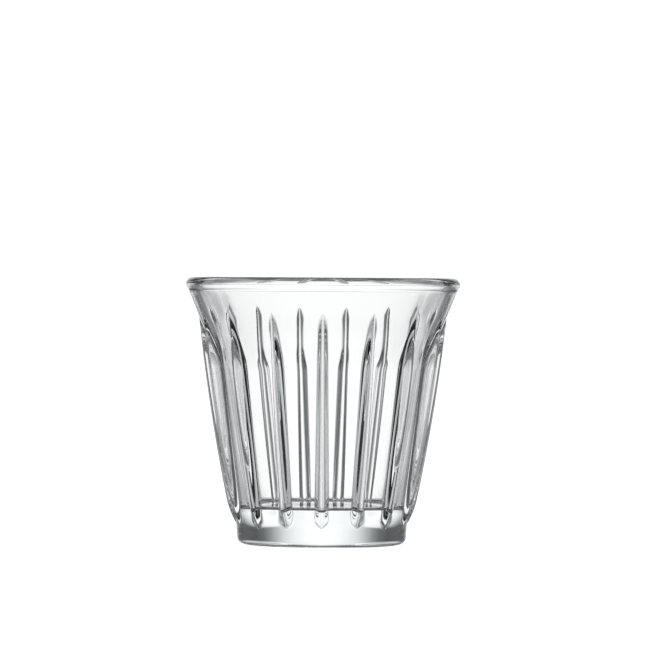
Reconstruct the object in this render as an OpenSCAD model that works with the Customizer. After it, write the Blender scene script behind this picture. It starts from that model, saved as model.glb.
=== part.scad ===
// Pressed-glass espresso cup: a bell-shaped bowl with a rounded lip, a thick solid foot and a ring of
// round-nosed ribs that stand proud of the waist and run out in the flare above and the foot below.
// Millimetres. +Z is up, and the origin is the centre of the resting plane under the foot.

/* [Cup] */
// Height from the table to the top of the lip
height = 68; // [62:0.5:76]
// Outside diameter at the widest point of the lip
rim_d = 70; // [66:0.5:76]
// Outside diameter at the top of the foot band
foot_d = 43.5; // [40:0.5:47]

/* [Bowl outside] */
// Angle of the flared mouth from the vertical
flare_angle = 22; // [18:0.2:26]
// Height of the waist, where the flare bends into the body
waist_z = 46.5; // [42:0.5:51]
// Radius of the soft bend at the waist
waist_bend_r = 14; // [6:1:30]
// Height of the foot band
foot_h = 5.2; // [4:0.2:7]
// Draft angle of the foot band from the vertical
foot_draft = 3.8; // [0:0.2:8]
// Radius of the rounded edge under the foot
foot_edge_r = 2; // [1:0.1:3]

/* [Wall] */
// Thickness of the solid glass under the drink
floor_t = 9.5; // [7:0.5:13]
// Wall at the floor, measured level
floor_wall = 2.9; // [2.2:0.1:4]
// Wall at the inside bend, measured level
bend_wall = 3.9; // [3.2:0.1:4.8]
// Wall just under the lip, measured level
mouth_wall = 3.2; // [2.4:0.1:3.5]
// Radius of the bead-like lip
lip_r = 1.85; // [1.65:0.05:2.1]
// How far the lip's bead stands out from the flare
lip_overhang = 0.22; // [0.1:0.02:0.4]
// Radius of the hollow under the bead, outside
outer_crease_r = 3; // [1:0.1:4]
// Radius of the hollow under the bead, inside
inner_crease_r = 4; // [2:0.1:5]
// Height of the bend inside, where the bowl opens into the mouth
inside_bend_z = 54.5; // [50:0.5:57]
// Radius of that bend
inside_bend_r = 29; // [10:1:36]
// Radius of the inside corner round the floor
floor_edge_r = 2.5; // [1:0.1:5]

/* [Ribs] */
// Number of ribs round the cup
rib_count = 15; // [9:1:20]
// Width of a rib's rounded nose
rib_w = 2.6; // [1.8:0.1:3.4]
// Depth of that nose, from the ridge to its widest
rib_nose = 1.5; // [0.8:0.1:2.2]
// Draft of a rib's flanks, from square to the wall
rib_draft = 8; // [2:1:15]
// Height of the ridge above the body at the waist
rib_waist_rise = 3.45; // [2.6:0.05:4.2]
// Height at which the ridge turns in to the foot
rib_hip_z = 11.5; // [10:0.5:16]
// Height of the ridge above the body at the hip
rib_hip_rise = 1.85; // [1.4:0.05:2.6]
// Radius of the ridge's gentle bow between hip and waist
rib_bow_r = 470; // [250:10:900]
// Radius of the ridge's turn below the hip
rib_toe_r = 20; // [16:1:30]

/* [Underside] */
// Diameter of the shallow hollow under the foot
hollow_d = 30; // [20:1:35]
// Depth of that hollow at its centre
hollow_h = 0.6; // [0.3:0.1:1.5]

/* [Hidden] */

arc_step = 6;        // degrees between points on a rounded stretch
over = 1;            // how far a cutting shape runs past what it cuts
toe_bury = 0.4;      // how far a rib's lower end sinks into the foot
rib_head = 6;        // how far below the lip's top a rib's upper end lies, inside the flare
rib_root = 6;        // how far a rib's root lies under its ridge, inside the wall
nose_steps = 6;      // flats round a rib's nose
$fn = 96;

foot_r = foot_d / 2;
lip_c = [rim_d / 2 - lip_r, height - lip_r];
flare_tan = tan(flare_angle);
off_flare = [cos(flare_angle), -sin(flare_angle)];
up_flare = [sin(flare_angle), cos(flare_angle)];
flare_edge = lip_c + (lip_r - lip_overhang) * off_flare;

// Radius of the sharp outside cones at a height: the flare, and the body between foot and waist
function flare_r(z) = flare_edge[0] - (flare_edge[1] - z) * flare_tan;
waist_r = flare_r(waist_z);
function body_r(z) = foot_r + (z - foot_h) * (waist_r - foot_r) / (waist_z - foot_h);

// Points of an arc of radius r round a centre, through turn degrees
function arc(centre, r, start, turn) =
    let (steps = max(2, ceil(abs(turn) / arc_step)))
    [for (i = [0:steps])
        let (a = start + turn * i / steps)
        centre + r * [cos(a), sin(a)]];

// Direction of a vector in degrees, and the shorter way from one direction to another
function heading(v) = atan2(v[1], v[0]);
function shorter(from, to) = ((to - from + 540) % 360) - 180;

// Arc that rounds the corner at p between a and b
function unit(v) = v / norm(v);
function rounded(a, p, b, r) =
    let (
        u = unit(a - p),
        v = unit(b - p),
        half = acos(u * v) / 2,
        centre = p + unit(u + v) * r / sin(half),
        start = heading(p + u * r / tan(half) - centre),
        stop = heading(p + v * r / tan(half) - centre)
    )
    arc(centre, r, start, shorter(start, stop));

// Arc that fills the crease between a straight wall and the lip's bead, from the wall to the bead. The wall
// passes through a point p and runs along one direction; the crease lies off it in another
function crease(p, along, off, r) =
    let (
        from_lip = p + r * off - lip_c,
        back = from_lip * along,
        slide = -back - sqrt(back * back - from_lip * from_lip + pow(lip_r + r, 2)),
        centre = p + r * off + slide * along,
        start = heading(-off)
    )
    arc(centre, r, start, shorter(start, heading(lip_c - centre)));

// The outside of the bowl, from the centre of the foot up to the lip, closed across the mouth
foot_bottom = [foot_r - foot_h * tan(foot_draft), 0];
outer_crease = crease(flare_edge, up_flare, off_flare, outer_crease_r);
bead_start = heading(outer_crease[len(outer_crease) - 1] - lip_c);
function outside() = concat(
    [[0, 0]],
    rounded([0, 0], foot_bottom, [foot_r, foot_h], foot_edge_r),
    [[foot_r, foot_h]],
    rounded([foot_r, foot_h], [waist_r, waist_z], flare_edge, waist_bend_r),
    outer_crease,
    arc(lip_c, lip_r, bead_start, 180 - bead_start),
    [[0, lip_c[1]]]
);

// The hollow of the bowl, which leaves the bead of the lip standing inside the mouth
lip_foot_z = height - 2 * lip_r;
inside_floor = [body_r(floor_t) - floor_wall, floor_t];
inside_bend = [flare_r(inside_bend_z) - bend_wall, inside_bend_z];
inside_mouth = [flare_r(lip_foot_z) - mouth_wall, lip_foot_z];
inside_up = unit(inside_mouth - inside_bend);
function inside() = concat(
    [[0, floor_t]],
    rounded([0, floor_t], inside_floor, inside_bend, floor_edge_r),
    rounded(inside_floor, inside_bend, inside_mouth, inside_bend_r),
    crease(inside_mouth, inside_up, [-inside_up[1], inside_up[0]], inner_crease_r),
    [lip_c, [lip_c[0], height + over], [0, height + over]]
);

// A rib's ridge: a bow through the hip and the waist, then a tighter turn down into the foot
hip = [body_r(rib_hip_z) + rib_hip_rise, rib_hip_z];
waist = [waist_r + rib_waist_rise, waist_z];
chord = waist - hip;
hip_lean = atan2(chord[0], chord[1]) + asin(norm(chord) / (2 * rib_bow_r));
bow_top_z = height - rib_head;
bow_sweep = hip_lean - asin(sin(hip_lean) - (bow_top_z - hip[1]) / rib_bow_r);
toe_sweep = acos(cos(hip_lean) - (hip[0] - foot_r + toe_bury) / rib_toe_r) - hip_lean;

// The section has its ridge on the origin: half an ellipse, then flanks that spread with the draft to the root
flank_turn = atan(rib_w / 2 / (rib_nose * tan(rib_draft)));
flank_top = [-rib_nose * (1 - cos(flank_turn)), rib_w / 2 * sin(flank_turn)];
root_half = flank_top[1] + (rib_root + flank_top[0]) * tan(rib_draft);
module rib_section() {
    polygon(concat(
        [for (i = [-nose_steps / 2:nose_steps / 2])
            let (a = flank_turn * i / (nose_steps / 2))
            [-rib_nose * (1 - cos(a)), rib_w / 2 * sin(a)]],
        [[-rib_root, root_half], [-rib_root, -root_half]]
    ));
}

// A stretch of rib whose ridge starts at the origin and bends with radius r through an angle
module rib_sweep(r, angle) {
    translate([-r, 0, 0])
        rotate_extrude(angle = angle, $fn = 360)
            translate([r, 0])
                rib_section();
}

module rib() {
    translate([hip[0], 0, hip[1]])
        rotate([90, 0, 0])
            rotate([0, 0, -hip_lean]) {
                rib_sweep(rib_bow_r, bow_sweep);
                rib_sweep(rib_toe_r, -toe_sweep);
            }
}

// The hollow under the foot is a shallow cap of a sphere
hollow_r = (hollow_d * hollow_d / 4 + hollow_h * hollow_h) / (2 * hollow_h);
module underside_hollow() {
    translate([0, 0, hollow_h - hollow_r])
        sphere(r = hollow_r);
}

// The mouth is cut round the lip's bead, so that the bead stands inside the wall
module bowl_hollow() {
    rotate_extrude()
        difference() {
            polygon(inside());
            translate(lip_c)
                circle(r = lip_r);
        }
}

module glass_cup() {
    color([0.86, 0.9, 0.9, 0.45])
        difference() {
            union() {
                rotate_extrude()
                    polygon(outside());
                for (i = [0:rib_count - 1])
                    rotate([0, 0, -90 + i * 360 / rib_count])
                        rib();
            }
            bowl_hollow();
            underside_hollow();
        }
}

glass_cup();
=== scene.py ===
import math

import bpy
import numpy as np
from mathutils import Matrix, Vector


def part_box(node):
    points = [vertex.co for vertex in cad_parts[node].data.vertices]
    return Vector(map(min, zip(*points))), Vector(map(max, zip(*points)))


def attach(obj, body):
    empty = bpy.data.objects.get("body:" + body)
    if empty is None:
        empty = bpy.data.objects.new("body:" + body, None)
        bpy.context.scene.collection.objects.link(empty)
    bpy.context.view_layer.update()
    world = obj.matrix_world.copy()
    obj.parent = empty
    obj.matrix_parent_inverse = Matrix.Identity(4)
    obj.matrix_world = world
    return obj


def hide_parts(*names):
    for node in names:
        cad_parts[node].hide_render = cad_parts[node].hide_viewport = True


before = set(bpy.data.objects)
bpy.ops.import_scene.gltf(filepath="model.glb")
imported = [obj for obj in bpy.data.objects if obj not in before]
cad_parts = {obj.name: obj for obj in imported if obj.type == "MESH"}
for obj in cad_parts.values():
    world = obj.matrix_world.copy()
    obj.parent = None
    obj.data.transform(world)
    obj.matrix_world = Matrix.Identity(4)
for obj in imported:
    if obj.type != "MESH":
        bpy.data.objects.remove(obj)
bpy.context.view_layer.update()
mm = 0.001  # sizes below are in millimetres, meshes in metres

lowCorner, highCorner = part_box("glass_cup")
cupHeight = (highCorner[2] - lowCorner[2]) / mm
rimRadius = (highCorner[0] - lowCorner[0]) / 2 / mm
print("frame loaded: cup", round(cupHeight, 2), "mm tall, mouth", round(2 * rimRadius, 2), "mm across")

# The bowl: what a user would change, beside the height and mouth that the frame gives
bowl = {
    "footDiameter": 43.5,    # at the top of the foot band
    "footHeight": 5.2,
    "footDraft": 3.8,        # degrees from upright
    "footEdge": 2.0,         # radius of the edge under the foot
    "footShoulder": 8.0,     # radius where the foot band meets the body
    "hollowDiameter": 30.0,  # shallow hollow in the underside
    "hollowDepth": 0.6,
    "waistHeight": 46.5,     # where the body bends out into the flare
    "waistBend": 14.0,       # radius of that bend
    "flareAngle": 22.0,      # degrees from upright
    "lipRadius": 1.85,
    "lipOverhang": 0.22,     # how far the lip's bead stands out from the flare
    "outerCrease": 3.0,      # radius of the hollow under the bead, outside
    "innerCrease": 2.2,      # and inside
    "floorThickness": 9.5,
    "floorEdge": 1.3,        # radius of the inside corner round the floor
    "floorWall": 2.95,       # wall at the floor, measured level
    "bendHeight": 54.5,      # where the bowl opens into the mouth, inside
    "bendWall": 3.9,         # wall at that bend
    "bendRadius": 29.0,
    "mouthWall": 3.4,        # wall under the lip
}

# The ribs: they bow out from the flare, widen downwards and turn in at the foot
ribs = {
    "count": 15,
    "waistNose": 0.66,       # radius of the rounded ridge at the waist
    "hipNose": 1.15,         # and at the hip
    "waistRoot": 1.22,       # half the width at the root, at the waist
    "hipRoot": 1.65,         # and at the hip
    "waistRise": 3.44,       # height of the ridge above the body at the waist
    "hipHeight": 11.5,       # where the ridge turns in to the foot
    "hipRise": 1.87,
    "bowRadius": 470.0,      # ridge between hip and waist
    "toeRadius": 20.0,       # ridge below the hip
    "archRise": 1.3,         # rise at which the arches at both ends reach their full width
    "leastArch": 0.02,       # share of that rise that is kept past a rib's ends
    "fullestNose": 0.9,      # largest ridge radius, as a share of half the root's width
    "flankAngles": (0.5, 1.5),  # least and greatest slope of the flanks, radians
    "rootBlend": 0.12,       # softness of the root where a rib meets the wall
}

# The mesh: rows up the profile, and columns over half a rib and its half of the panel
grid = {
    "hollowRows": 7,
    "footEdgeSteps": 8,
    "shoulderSteps": 6,
    "waistSteps": 24,
    # heights up the outside, and the rows that lead up to each; they are closest where the ribs end
    "outsideRows": [(ribs["hipHeight"] + 1.0, 29), (bowl["waistHeight"] - 8.5, 19),
                    (bowl["waistHeight"] + 5.5, 21), (bowl["waistHeight"] + 14.5, 29)],
    "rowsUnderLip": 4,
    "outerCreaseSteps": 6,
    "innerCreaseSteps": 10,
    "beadSteps": 32,
    "bendSteps": 12,
    "floorEdgeSteps": 12,
    "straightSteps": 5,
    "noseColumns": 6,
    "flankColumns": 3,
    "rootColumns": 3,
    "panelColumns": 3,
    "leastFlank": 0.05,      # narrowest flank
    "rootReach": 0.6,        # width of the fine columns past the root
    "leastRadius": 15.0,     # columns keep the angles they have here, further in
    "middleRise": 1.5,       # where above the bowl the columns have their true widths
    "searchDepth": 5.0,      # how far under the bowl a rib's surface is looked for
    "searchMargin": 0.5,     # and how far past its ridge
    "halvings": 36,
}


# Unit vector along v
def unit(v):
    return v / np.linalg.norm(v)


# Direction of v, in radians
def heading(v):
    return math.atan2(v[1], v[0])


# Points on a circle from one angle to another
def arc(centre, radius, start, stop, steps):
    angle = np.linspace(start, stop, steps + 1)
    return np.asarray(centre) + radius * np.stack([np.cos(angle), np.sin(angle)], axis=1)


# Points on a circle from one direction to another, the shorter way round
def shortArc(centre, radius, first, last, steps):
    start = heading(first)
    turn = (heading(last) - start + math.pi) % (2 * math.pi) - math.pi
    return arc(centre, radius, start, start + turn, steps)


# Arc that rounds the corner at p between a and b: its centre lies on the corner's bisector
def roundedCorner(a, p, b, radius, steps):
    a, p, b = (np.asarray(q, float) for q in (a, p, b))
    u, v = unit(a - p), unit(b - p)
    half = math.acos(float(u @ v)) / 2
    centre = p + unit(u + v) * radius / math.sin(half)
    first, last = (p + w * radius / math.tan(half) - centre for w in (u, v))
    return shortArc(centre, radius, first, last, steps)


# Points on the straight line between a and b, without its ends
def between(a, b):
    return np.linspace(a, b, grid["straightSteps"] + 1)[1:-1]


footRadius = bowl["footDiameter"] / 2
flare = math.radians(bowl["flareAngle"])
upFlare = np.array([math.sin(flare), math.cos(flare)])
offFlare = np.array([math.cos(flare), -math.sin(flare)])
lipCentre = np.array([rimRadius - bowl["lipRadius"], cupHeight - bowl["lipRadius"]])
flareEdge = lipCentre + (bowl["lipRadius"] - bowl["lipOverhang"]) * offFlare


# Radius of the straight flare at a height
def flareRadius(z):
    return flareEdge[0] - (flareEdge[1] - z) * math.tan(flare)


waistRadius = flareRadius(bowl["waistHeight"])


# Radius of the straight body, foot to waist, at a height
def bodyRadius(z):
    share = (z - bowl["footHeight"]) / (bowl["waistHeight"] - bowl["footHeight"])
    return footRadius + share * (waistRadius - footRadius)


# Arc that fills the crease between a straight wall and the lip's bead, from the wall to the bead: its
# centre lies off the wall by its own radius, and off the bead's centre by both radii
def creaseArc(onWall, along, off, radius, steps):
    besideWall = onWall + radius * off
    fromLip = besideWall - lipCentre
    back = fromLip @ along
    slide = -back - math.sqrt(back ** 2 - fromLip @ fromLip + (bowl["lipRadius"] + radius) ** 2)
    centre = besideWall + slide * along
    return shortArc(centre, radius, -off, lipCentre - centre, steps)


footInset = bowl["footHeight"] * math.tan(math.radians(bowl["footDraft"]))
footBottom = np.array([footRadius - footInset, 0.0])
footTop = np.array([footRadius, bowl["footHeight"]])
waistCorner = np.array([waistRadius, bowl["waistHeight"]])
footEdge = roundedCorner([0, 0], footBottom, footTop, bowl["footEdge"], grid["footEdgeSteps"])
outerCrease = creaseArc(flareEdge, upFlare, offFlare, bowl["outerCrease"], grid["outerCreaseSteps"])

# The bowl's outside between the edge under the foot and the crease under the lip
bellLine = np.concatenate([
    footEdge[-1:],
    roundedCorner(footBottom, footTop, waistCorner, bowl["footShoulder"], grid["shoulderSteps"]),
    roundedCorner(footTop, waistCorner, flareEdge, bowl["waistBend"], grid["waistSteps"]),
    outerCrease[:1],
])


# Ridge radius at a height: a wide bow above the hip and a tighter turn below it, tangent at the hip
def ridgeRadius(z):
    hip = np.array([bodyRadius(ribs["hipHeight"]) + ribs["hipRise"], ribs["hipHeight"]])
    chord = np.array([waistRadius + ribs["waistRise"], bowl["waistHeight"]]) - hip
    lean = math.atan2(chord[0], chord[1]) + math.asin(np.linalg.norm(chord) / (2 * ribs["bowRadius"]))

    # Outer side of the circle of a radius that has the ridge's lean at the hip
    def onCircle(radius):
        centre = hip - radius * np.array([math.cos(lean), -math.sin(lean)])
        return centre[0] + np.sqrt(np.maximum(radius ** 2 - (centre[1] - z) ** 2, 0))

    return np.where(z > ribs["hipHeight"], onCircle(ribs["bowRadius"]), onCircle(ribs["toeRadius"]))


# A rib's section at a height, where its ridge stands off the wall by rise: the nose's radius, half the
# width at the root, and the slope of the straight flank that touches the nose and ends at the root.
# Nose and root grow evenly downwards; where the rise runs out, the width follows an ellipse, so that the
# rib ends in an arch
def ribSection(z, rise):
    share = np.minimum((bowl["waistHeight"] - z) / (bowl["waistHeight"] - ribs["hipHeight"]), 1)
    up = np.clip(rise / ribs["archRise"], ribs["leastArch"], 1)
    fullRoot = ribs["waistRoot"] + share * (ribs["hipRoot"] - ribs["waistRoot"])
    fullNose = ribs["waistNose"] + share * (ribs["hipNose"] - ribs["waistNose"])
    root = fullRoot * np.sqrt(1 - (1 - up) ** 2)
    nose = np.minimum(fullNose, ribs["fullestNose"] * root)
    reach = np.hypot(root, rise - nose)
    turn = np.arctan2(rise - nose, root) + np.arcsin(np.minimum(nose / reach, 1))
    return nose, root, np.clip(turn, *ribs["flankAngles"])


# Depth of the rib's surface below its ridge at a sideways distance: a circle, then a straight flank
def noseDepth(side, nose, turn):
    within = np.minimum(np.abs(side), nose * np.sin(turn))
    return nose - np.sqrt(nose ** 2 - within ** 2) + (np.abs(side) - within) * np.tan(turn)


# Larger of two fields, with a soft crossover as wide as soft
def softMax(a, b, soft):
    return 0.5 * (a + b + np.sqrt((a - b) ** 2 + soft ** 2))


# Outside radius at an angle from the nearest rib: the point of that ray that lies on the rib's section
# is found by halving, and softly joined to the bowl
def ribbedRadius(bell, ridge, nose, turn, angle):
    deepest = bell - grid["searchDepth"]
    low = np.broadcast_to(deepest, np.broadcast(bell, angle).shape)
    high = np.broadcast_to(np.maximum(ridge, deepest), low.shape) + grid["searchMargin"]
    for _ in range(grid["halvings"]):
        middle = (low + high) / 2
        outside = middle * np.cos(angle) - ridge + noseDepth(middle * np.sin(angle), nose, turn) > 0
        high = np.where(outside, middle, high)
        low = np.where(outside, low, middle)
    return softMax(bell, low, ribs["rootBlend"])


# Places after first, up to last, in even steps
def evenSteps(first, last, count):
    return first + (last - first) * (np.arange(count) + 1) / count


# Angles of the columns over one rib: round the nose, down the flank, over the root and across the panel
def columnAngles(radius, nose, root, turn):
    across = nose * np.sin(turn * np.arange(grid["noseColumns"] + 1) / grid["noseColumns"])
    flankStart = across[:, -1:]
    flank = evenSteps(flankStart, np.maximum(root, flankStart + grid["leastFlank"]), grid["flankColumns"])
    beyond = evenSteps(flank[:, -1:], flank[:, -1:] + grid["rootReach"], grid["rootColumns"])
    near = np.concatenate([across, flank, beyond], axis=1) / radius
    panel = evenSteps(near[:, -1:], math.pi / ribs["count"], grid["panelColumns"])
    half = np.concatenate([near, panel], axis=1)
    return np.concatenate([-half[:, :0:-1], half[:, :-1]], axis=1)


# The underside's rows from its centre: a hollow whose depth falls off with the square of the radius,
# then the edge of the foot
def undersideRows():
    share = np.linspace(0, 1, grid["hollowRows"])[:, None]
    hollow = share * [bowl["hollowDiameter"] / 2, 0] + (1 - share ** 2) * [0, bowl["hollowDepth"]]
    return np.concatenate([hollow, footEdge])


# The ribbed outside's rows from foot to lip: the radius is read off the bell line at each height
def outsideRows():
    heights = [footEdge[-1:, 1]]
    for top, count in grid["outsideRows"] + [(outerCrease[0, 1], grid["rowsUnderLip"])]:
        heights.append(np.linspace(heights[-1][-1], top, count + 1)[1:])
    heights = np.concatenate(heights)[1:-1]
    return np.stack([np.interp(heights, bellLine[:, 1], bellLine[:, 0]), heights], axis=1)


# The rows over the lip's bead and down the inside to the centre of the floor: arcs joined by straight
# stretches
def insideRows():
    mouthHeight = cupHeight - 2 * bowl["lipRadius"]
    mouth = np.array([flareRadius(mouthHeight) - bowl["mouthWall"], mouthHeight])
    bend = np.array([flareRadius(bowl["bendHeight"]) - bowl["bendWall"], bowl["bendHeight"]])
    floorHeight = bowl["floorThickness"]
    floorCorner = np.array([bodyRadius(floorHeight) - bowl["floorWall"], floorHeight])
    floorCentre = np.array([0, floorHeight])

    along = unit(mouth - bend)
    intoBowl = np.array([-along[1], along[0]])
    innerCrease = creaseArc(mouth, along, intoBowl, bowl["innerCrease"], grid["innerCreaseSteps"])
    beadStart = heading(outerCrease[-1] - lipCentre)
    beadStop = heading(innerCrease[-1] - lipCentre) + 2 * math.pi
    bead = arc(lipCentre, bowl["lipRadius"], beadStart, beadStop, grid["beadSteps"])
    lip = np.concatenate([outerCrease[:-1], bead, innerCrease[-2::-1]])
    wall = roundedCorner(mouth, bend, floorCorner, bowl["bendRadius"], grid["bendSteps"])
    corner = roundedCorner(bend, floorCorner, floorCentre, bowl["floorEdge"], grid["floorEdgeSteps"])
    return np.concatenate([
        lip,
        between(lip[-1], wall[0]),
        wall,
        between(wall[-1], corner[0]),
        corner,
        between(corner[-1], floorCentre),
        [floorCentre],
    ])


# The whole cup as one closed surface: height and radius come from the profile row, the angle from the
# column, and the outside rows take the ribs' relief; each pole is one point with a fan of triangles
def makeCup():
    under, outside, inside = undersideRows(), outsideRows(), insideRows()
    rows = np.concatenate([under, outside, inside])
    ribbed = np.zeros((len(rows), 1), bool)
    ribbed[len(under):len(under) + len(outside)] = True
    radius, height = rows[:, :1], rows[:, 1:]
    ridge = ridgeRadius(height)
    nose, root, turn = ribSection(height, ridge - radius)
    columnRadius = np.maximum(radius, grid["leastRadius"]) + grid["middleRise"]
    angle = columnAngles(columnRadius, nose, root, turn)
    radius = np.where(ribbed, ribbedRadius(radius, ridge, nose, turn, angle), radius)

    # One rib's columns, repeated round the cup from the rib that faces the camera
    turns = -math.pi / 2 + 2 * math.pi * np.arange(ribs["count"]) / ribs["count"]
    around = (turns[None, :, None] + angle[:, None, :]).reshape(len(rows), -1)
    columns = around.shape[1]
    radius = np.tile(radius, (1, ribs["count"]))
    height = np.repeat(height, columns, axis=1)
    points = np.stack([radius * np.cos(around), radius * np.sin(around), height], axis=2) * mm

    vertices = np.concatenate([points[:1, 0], points[1:-1].reshape(-1, 3), points[-1:, 0]])
    ringCount = len(rows) - 2
    index = 1 + np.arange(ringCount * columns).reshape(ringCount, columns)
    ahead = np.roll(index, -1, axis=1)
    quads = np.stack([index[:-1], ahead[:-1], ahead[1:], index[1:]], axis=2).reshape(-1, 4)
    bottom = np.stack([np.zeros(columns, int), ahead[0], index[0]], axis=1)
    top = np.stack([np.full(columns, len(vertices) - 1), index[-1], ahead[-1]], axis=1)

    mesh = bpy.data.meshes.new("glass_cup_visual")
    mesh.from_pydata(vertices.tolist(), [], quads.tolist() + bottom.tolist() + top.tolist())
    mesh.polygons.foreach_set("use_smooth", np.ones(len(mesh.polygons), bool))
    mesh.update()
    cup = bpy.data.objects.new("glass_cup_visual", mesh)
    bpy.context.collection.objects.link(cup)
    print("cup:", len(rows), "rows x", columns, "columns,", 2 * len(quads) + 2 * columns, "triangles")
    return cup


glass = {
    "colour": (1.0, 1.0, 1.0, 1.0),
    "index": 1.52,
    "roughness": 0.0,
    "bodyColour": (0.80, 0.94, 0.99, 1.0),  # tint that deepens with the way through the glass
    "bodyDensity": 4.0,
}


# Clear glass: a smooth refracting surface, and a body that absorbs a little
def makeGlass():
    material = bpy.data.materials.new("clear_pressed_glass")
    material.use_nodes = True
    nodes, links = material.node_tree.nodes, material.node_tree.links
    nodes.clear()
    output = nodes.new("ShaderNodeOutputMaterial")
    surface = nodes.new("ShaderNodeBsdfPrincipled")
    surface.inputs["Base Color"].default_value = glass["colour"]
    surface.inputs["Transmission Weight"].default_value = 1.0
    surface.inputs["IOR"].default_value = glass["index"]
    surface.inputs["Roughness"].default_value = glass["roughness"]
    links.new(surface.outputs[0], output.inputs["Surface"])
    body = nodes.new("ShaderNodeVolumeAbsorption")
    body.inputs["Color"].default_value = glass["bodyColour"]
    body.inputs["Density"].default_value = glass["bodyDensity"]
    links.new(body.outputs[0], output.inputs["Volume"])
    print("glass: index", glass["index"])
    return material


# How the bright backdrop fades to both sides: degrees from straight behind the cup, and brightness
backdropFade = [(18, 0.74), (22, 0.5), (26, 0.3), (32, 0.13), (40, 0.06), (60, 0.06)]

studio = {
    # Bands of the studio by degrees above the table; each gives the degrees from straight behind the
    # cup, the same to both sides, and how bright the studio is there
    "bands": [
        (60, [(0, 0.7), (180, 0.7)]),
        (42, [(0, 0.7), (50, 0.6), (90, 0.4), (180, 0.25)]),
        (30, [(0, 0.5), (20, 0.4), (40, 0.15), (180, 0.1)]),
        (18, [(0, 1.14), (12, 0.98), *backdropFade, (80, 0.12), (180, 0.1)]),
        (7, [(0, 1.14), (12, 0.96), *backdropFade, (80, 0.12), (180, 0.1)]),
        (0, [(0, 1.13), (6, 1.08), (12, 0.96), *backdropFade,
             (72, 0.15), (80, 0.8), (100, 0.8), (115, 0.2), (180, 0.1)]),
        (-3, [(0, 1.15), (6, 1.12), (10, 1.02), (16, 0.8), (22, 0.5), (30, 0.22), (42, 0.22),
              (50, 0.4), (60, 0.5), (70, 0.6), (78, 1.0), (90, 1.1), (102, 1.0), (110, 0.6),
              (120, 0.5), (180, 0.5)]),
        (-6, [(0, 1.16), (6, 1.12), (10, 0.96), (16, 0.6), (25, 0.22), (42, 0.2), (50, 0.45),
              (60, 0.58), (90, 0.75), (105, 0.58), (180, 0.58)]),
        (-11, [(0, 1.05), (4, 1.0), (8, 0.5), (15, 0.26), (25, 0.2), (42, 0.2), (52, 0.45),
               (62, 0.58), (180, 0.58)]),
        (-15, [(0, 0.95), (5, 0.7), (10, 0.35), (20, 0.2), (42, 0.2), (55, 0.4),
               (95, 0.5), (115, 0.95), (135, 1.1), (155, 0.95), (175, 0.5), (180, 0.5)]),
        (-25, [(0, 0.1), (20, 0.15), (34, 0.9), (45, 1.1), (58, 0.9), (70, 0.4), (80, 0.3),
               (180, 0.25)]),
        (-34, [(0, 0.05), (180, 0.05)]),
    ],
    "gapColour": (0.93, 0.975, 1.0),  # tint of the darkest parts; the bright ones are white
    "diffuseShare": 0.35,    # how much of all this lights matt surfaces
    "floorColour": (0.82, 0.82, 0.82, 1.0),
    "floorGlow": 0.88,
    "floorRadius": 0.2,      # metres, as for the lamp
    "floorPoints": 96,
    "lampHeight": 1.0,
    "lampSize": 0.7,
    "lampPower": 2.0,        # watts
}


# The studio is bright panels with darker gaps between them, and the camera itself sees plain white. A
# direction's level is a sum over the bands: the band's ramp round the cup, times a hat that is 1 at the
# band's height and falls to 0 at its neighbours'
def makeWorld():
    world = bpy.data.worlds.new("studio")
    bpy.context.scene.world = world
    world.use_nodes = True
    nodes, links = world.node_tree.nodes, world.node_tree.links
    nodes.clear()

    # One math node: numbers are set on its sockets, and outputs of other nodes are linked to them
    def calculate(operation, *values):
        node = nodes.new("ShaderNodeMath")
        node.operation = operation
        for socket, value in zip(node.inputs, values):
            if isinstance(value, (int, float)):
                socket.default_value = value
            else:
                links.new(value, socket)
        return node.outputs[0]

    # Grey ramp over a share from 0 to 1
    def ramp(share, stops):
        node = nodes.new("ShaderNodeValToRGB")
        elements = node.color_ramp.elements
        while len(elements) < len(stops):
            elements.new(1.0)
        for element, (place, level) in zip(elements, stops):
            element.position = place
            element.color = (level, level, level, 1)
        links.new(share, node.inputs["Fac"])
        return node.outputs["Color"]

    direction = nodes.new("ShaderNodeSeparateXYZ")
    links.new(nodes.new("ShaderNodeTexCoord").outputs["Generated"], direction.inputs[0])
    x, y, z = direction.outputs
    aside = calculate("DIVIDE", calculate("ARCTAN2", calculate("ABSOLUTE", x), y), math.pi)
    bands = studio["bands"]
    top, low = bands[0][0], bands[-1][0]
    aboveLow = calculate("SUBTRACT", calculate("ARCSINE", z), math.radians(low))
    height = calculate("DIVIDE", aboveLow, math.radians(top - low))
    places = [(band[0] - low) / (top - low) for band in bands]
    level = 0.0
    for i, (_, levels) in enumerate(bands):
        around = ramp(aside, [(degrees / 180, shade) for degrees, shade in levels])
        hat = sorted((places[j], float(j == i)) for j in (i - 1, i, i + 1) if 0 <= j < len(bands))
        level = calculate("MULTIPLY_ADD", around, ramp(height, hat), level)

    path = nodes.new("ShaderNodeLightPath")
    matt = calculate("MULTIPLY", path.outputs["Is Diffuse Ray"], studio["diffuseShare"] - 1)
    level = calculate("MULTIPLY", level, calculate("ADD", matt, 1.0))
    seen = calculate("MAXIMUM", level, path.outputs["Is Camera Ray"])
    tint = nodes.new("ShaderNodeValToRGB")
    tint.color_ramp.elements[0].color = (*studio["gapColour"], 1)
    tint.color_ramp.elements[1].color = (1, 1, 1, 1)
    background = nodes.new("ShaderNodeBackground")
    links.new(seen, tint.inputs["Fac"])
    links.new(tint.outputs["Color"], background.inputs["Color"])
    links.new(seen, background.inputs["Strength"])
    links.new(background.outputs[0], nodes.new("ShaderNodeOutputWorld").inputs[0])
    print("studio:", len(bands), "bands of light")


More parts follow.
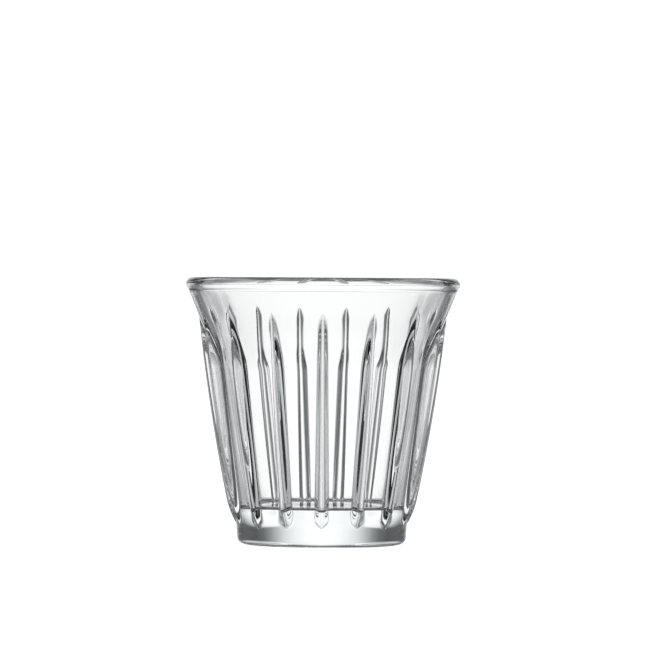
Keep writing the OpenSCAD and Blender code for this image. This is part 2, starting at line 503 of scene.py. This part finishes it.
# Round matt floor that also glows, so that it is as pale as the backdrop; the glass doesn't show it
def makeFloor():
    count = studio["floorPoints"]
    angle = np.linspace(0, 2 * math.pi, count, endpoint=False)
    ring = np.stack([np.cos(angle), np.sin(angle), np.zeros(count)], axis=1) * studio["floorRadius"]
    mesh = bpy.data.meshes.new("floor")
    mesh.from_pydata(ring.tolist(), [], [list(range(count))])
    floor = bpy.data.objects.new("floor", mesh)
    bpy.context.collection.objects.link(floor)
    material = bpy.data.materials.new("pale_floor")
    material.use_nodes = True
    nodes, links = material.node_tree.nodes, material.node_tree.links
    nodes.clear()
    matt = nodes.new("ShaderNodeBsdfDiffuse")
    matt.inputs["Color"].default_value = studio["floorColour"]
    glow = nodes.new("ShaderNodeEmission")
    glow.inputs["Strength"].default_value = studio["floorGlow"]
    both = nodes.new("ShaderNodeAddShader")
    links.new(matt.outputs[0], both.inputs[0])
    links.new(glow.outputs[0], both.inputs[1])
    links.new(both.outputs[0], nodes.new("ShaderNodeOutputMaterial").inputs["Surface"])
    mesh.materials.append(material)
    floor.visible_transmission = False
    floor.visible_glossy = False


# One broad soft lamp overhead, kept out of what the glass refracts
def makeLamp():
    data = bpy.data.lights.new("overhead_softbox", "AREA")
    data.shape = "DISK"
    data.size = studio["lampSize"]
    data.energy = studio["lampPower"]
    lamp = bpy.data.objects.new("overhead_softbox", data)
    lamp.location = (0, 0, studio["lampHeight"])
    lamp.visible_transmission = False
    bpy.context.collection.objects.link(lamp)
    print("floor and lamp: lamp", studio["lampHeight"], "m up")


view = {
    "distance": 1400.0,      # from the cup's axis
    "eyeHeight": 68.0,
    "sideStep": -0.1,        # to the right of the axis, so a little to the left
    "aimHeight": 56.5,       # point on the axis at the picture's centre
    "frameWidth": 164.35,    # width of the picture at the axis
    "roll": 0.37,            # degrees
    "farthest": 100.0,       # metres
}


# Camera level with the rim: the lens takes in the frame's width, and the pitch points it at the aim
def makeCamera():
    data = bpy.data.cameras.new("camera")
    data.sensor_fit = "HORIZONTAL"
    data.angle = 2 * math.atan(view["frameWidth"] / 2 / view["distance"])
    data.clip_end = view["farthest"]
    camera = bpy.data.objects.new("camera", data)
    bpy.context.collection.objects.link(camera)
    camera.location = (view["sideStep"] * mm, -view["distance"] * mm, view["eyeHeight"] * mm)
    pitch = math.atan2(view["aimHeight"] - view["eyeHeight"], view["distance"])
    level = Matrix.Rotation(math.pi / 2 + pitch, 4, "X")
    roll = Matrix.Rotation(math.radians(view["roll"]), 4, "Z")
    camera.rotation_euler = (level @ roll).to_euler()
    bpy.context.scene.camera = camera
    print("camera:", view["distance"], "mm away")


bpy.context.scene.view_settings.view_transform = "Standard"
makeCamera()
makeWorld()
makeFloor()
makeLamp()
cup = makeCup()
cup.data.materials.append(makeGlass())
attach(cup, "root")
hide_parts("glass_cup")
